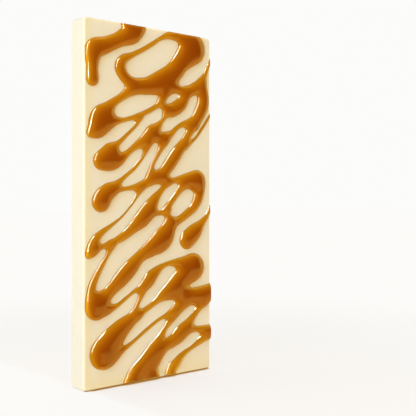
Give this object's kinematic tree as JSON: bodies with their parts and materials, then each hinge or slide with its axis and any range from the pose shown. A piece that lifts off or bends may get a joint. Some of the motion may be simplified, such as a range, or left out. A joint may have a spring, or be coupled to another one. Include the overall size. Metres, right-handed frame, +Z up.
{
  "type": "white chocolate bar with caramel drizzle",
  "caption": "Flat cast bar of white chocolate on its short end, with a network of caramel poured over one face and bevelled break-off blocks on the other.",
  "frame": {"origin": "centre of the bounding box at the foot, on the surface that the bar stands on", "axes": "+Z up the bar's length, X across its width, -Y out of the face with the caramel, +Y out of the face with the blocks"},
  "size_m": [0.072, 0.014, 0.16],
  "materials": {
    "white_chocolate": "satin cast white chocolate, slightly translucent",
    "caramel": "glossy poured caramel, amber where it is thin and deep orange-brown where it is thick"
  },
  "bodies": {
    "root": {"chocolate_bar": "white_chocolate"}
  },
  "joints": []
}
